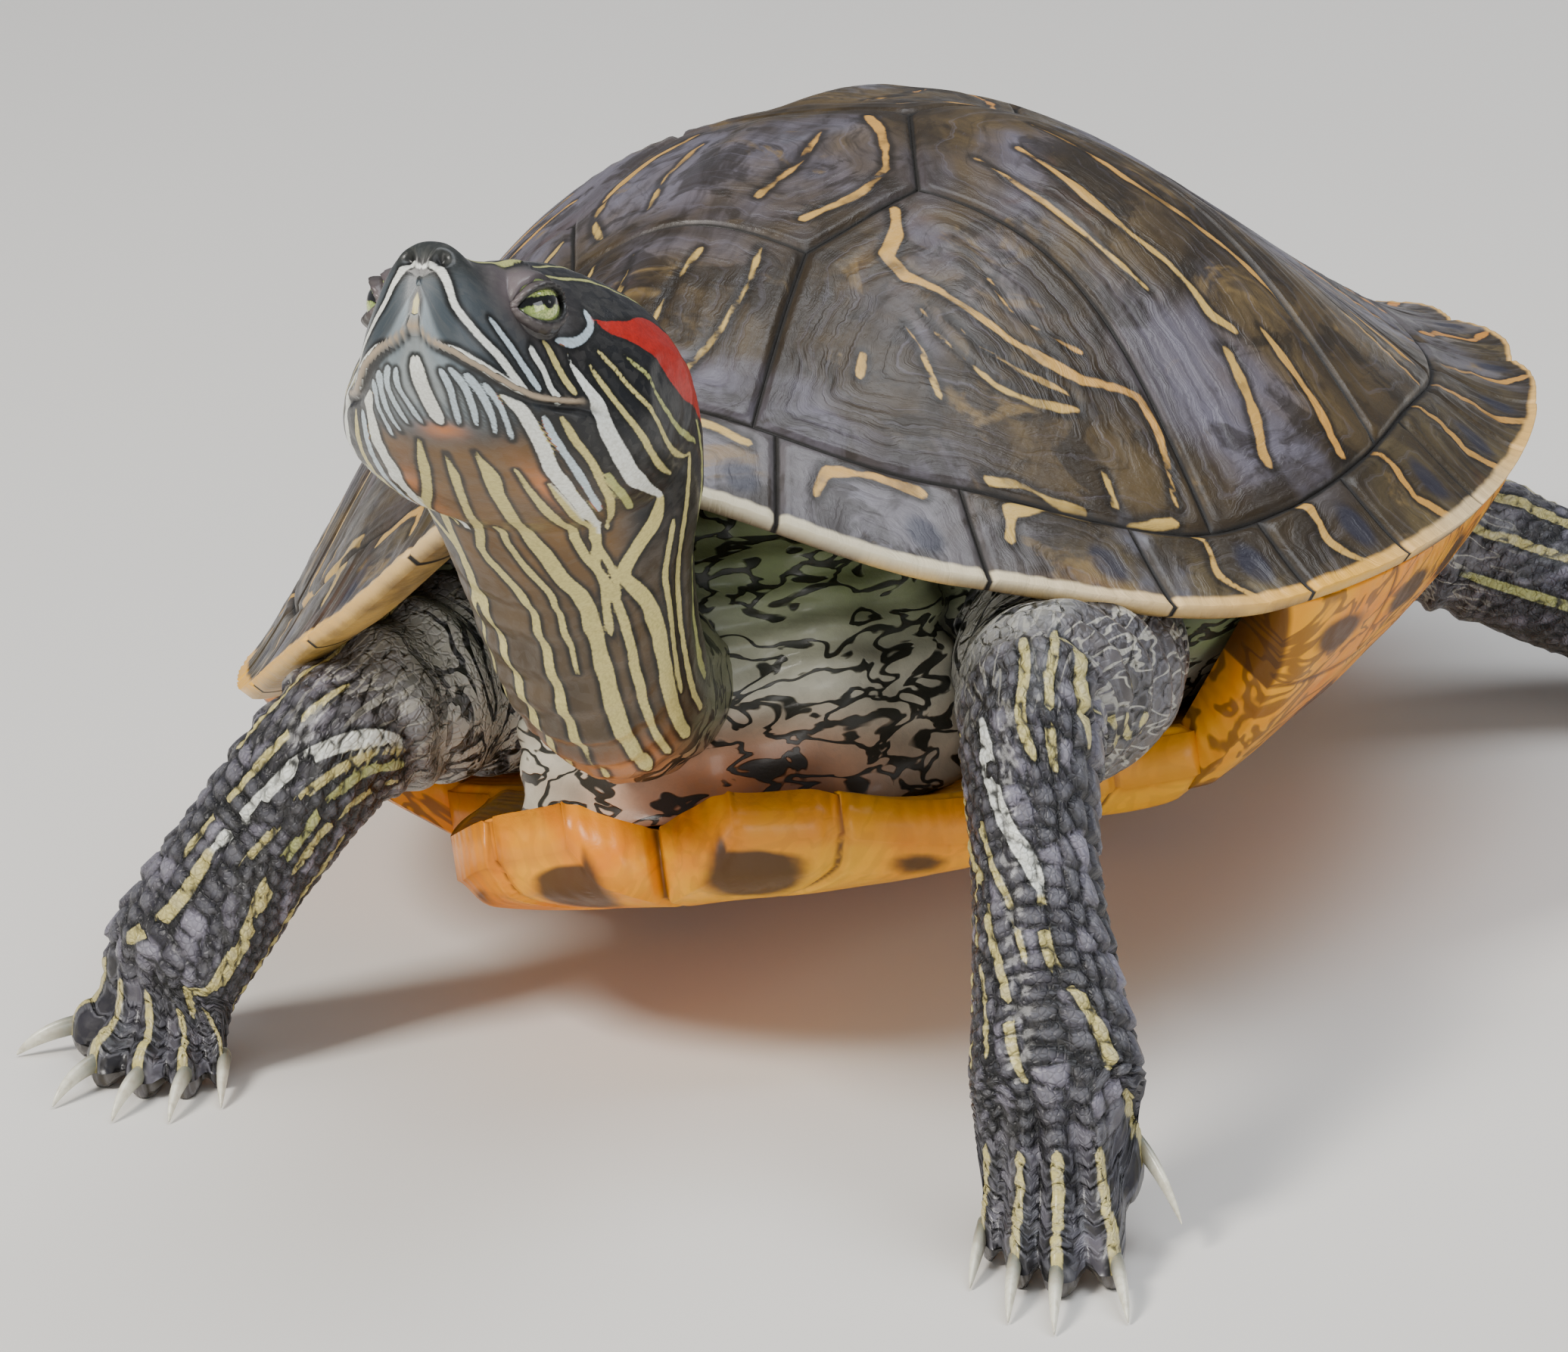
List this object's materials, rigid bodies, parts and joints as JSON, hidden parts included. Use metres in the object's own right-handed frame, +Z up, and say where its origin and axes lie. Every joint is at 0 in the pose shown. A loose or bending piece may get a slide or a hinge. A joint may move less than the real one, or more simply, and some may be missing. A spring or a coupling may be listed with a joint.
{
  "type": "red-eared slider turtle",
  "caption": "Life-size museum model of a freshwater turtle standing with its head and front raised, its shell divided into separate scutes.",
  "frame": {"origin": "middle of the bounding box on the floor", "axes": "-Y is the way the turtle faces, +X is its left side, +Z is up"},
  "size_m": [0.2784, 0.305, 0.1359],
  "materials": {
    "scute": "satin brown-olive keratin with thin yellow lines",
    "margin": "satin brown-olive keratin with a cream-yellow outer edge",
    "belly": "satin orange-yellow keratin with dark blotches",
    "skin": "scaly dark olive skin with cream stripes and a red ear patch",
    "eye": "wet yellow-green eye with a dark bar across the iris"
  },
  "bodies": {
    "root": {"nuchal": "margin", "vertebral_1": "scute", "vertebral_2": "scute", "vertebral_3": "scute", "vertebral_4": "scute", "vertebral_5": "scute", "pleural_left_1": "scute", "pleural_left_2": "scute", "pleural_left_3": "scute", "pleural_left_4": "scute", "marginal_left_1": "margin", "marginal_left_2": "margin", "marginal_left_3": "margin", "marginal_left_4": "margin", "marginal_left_5": "margin", "marginal_left_6": "margin", "marginal_left_7": "margin", "marginal_left_8": "margin", "marginal_left_9": "margin", "marginal_left_10": "margin", "marginal_left_11": "margin", "marginal_left_12": "margin", "bridge_left": "belly", "pleural_right_1": "scute", "pleural_right_2": "scute", "pleural_right_3": "scute", "pleural_right_4": "scute", "marginal_right_1": "margin", "marginal_right_2": "margin", "marginal_right_3": "margin", "marginal_right_4": "margin", "marginal_right_5": "margin", "marginal_right_6": "margin", "marginal_right_7": "margin", "marginal_right_8": "margin", "marginal_right_9": "margin", "marginal_right_10": "margin", "marginal_right_11": "margin", "marginal_right_12": "margin", "bridge_right": "belly", "plastron": "belly", "trunk": "skin", "upper_arm_left": "skin", "forearm_left": "skin", "forefoot_left": "skin", "upper_arm_right": "skin", "forearm_right": "skin", "forefoot_right": "skin", "thigh_left": "skin", "shin_left": "skin", "hindfoot_left": "skin", "thigh_right": "skin", "shin_right": "skin", "hindfoot_right": "skin", "neck": "skin", "head": "skin", "eye_left": "eye", "eye_right": "eye", "tail": "skin"}
  },
  "joints": []
}
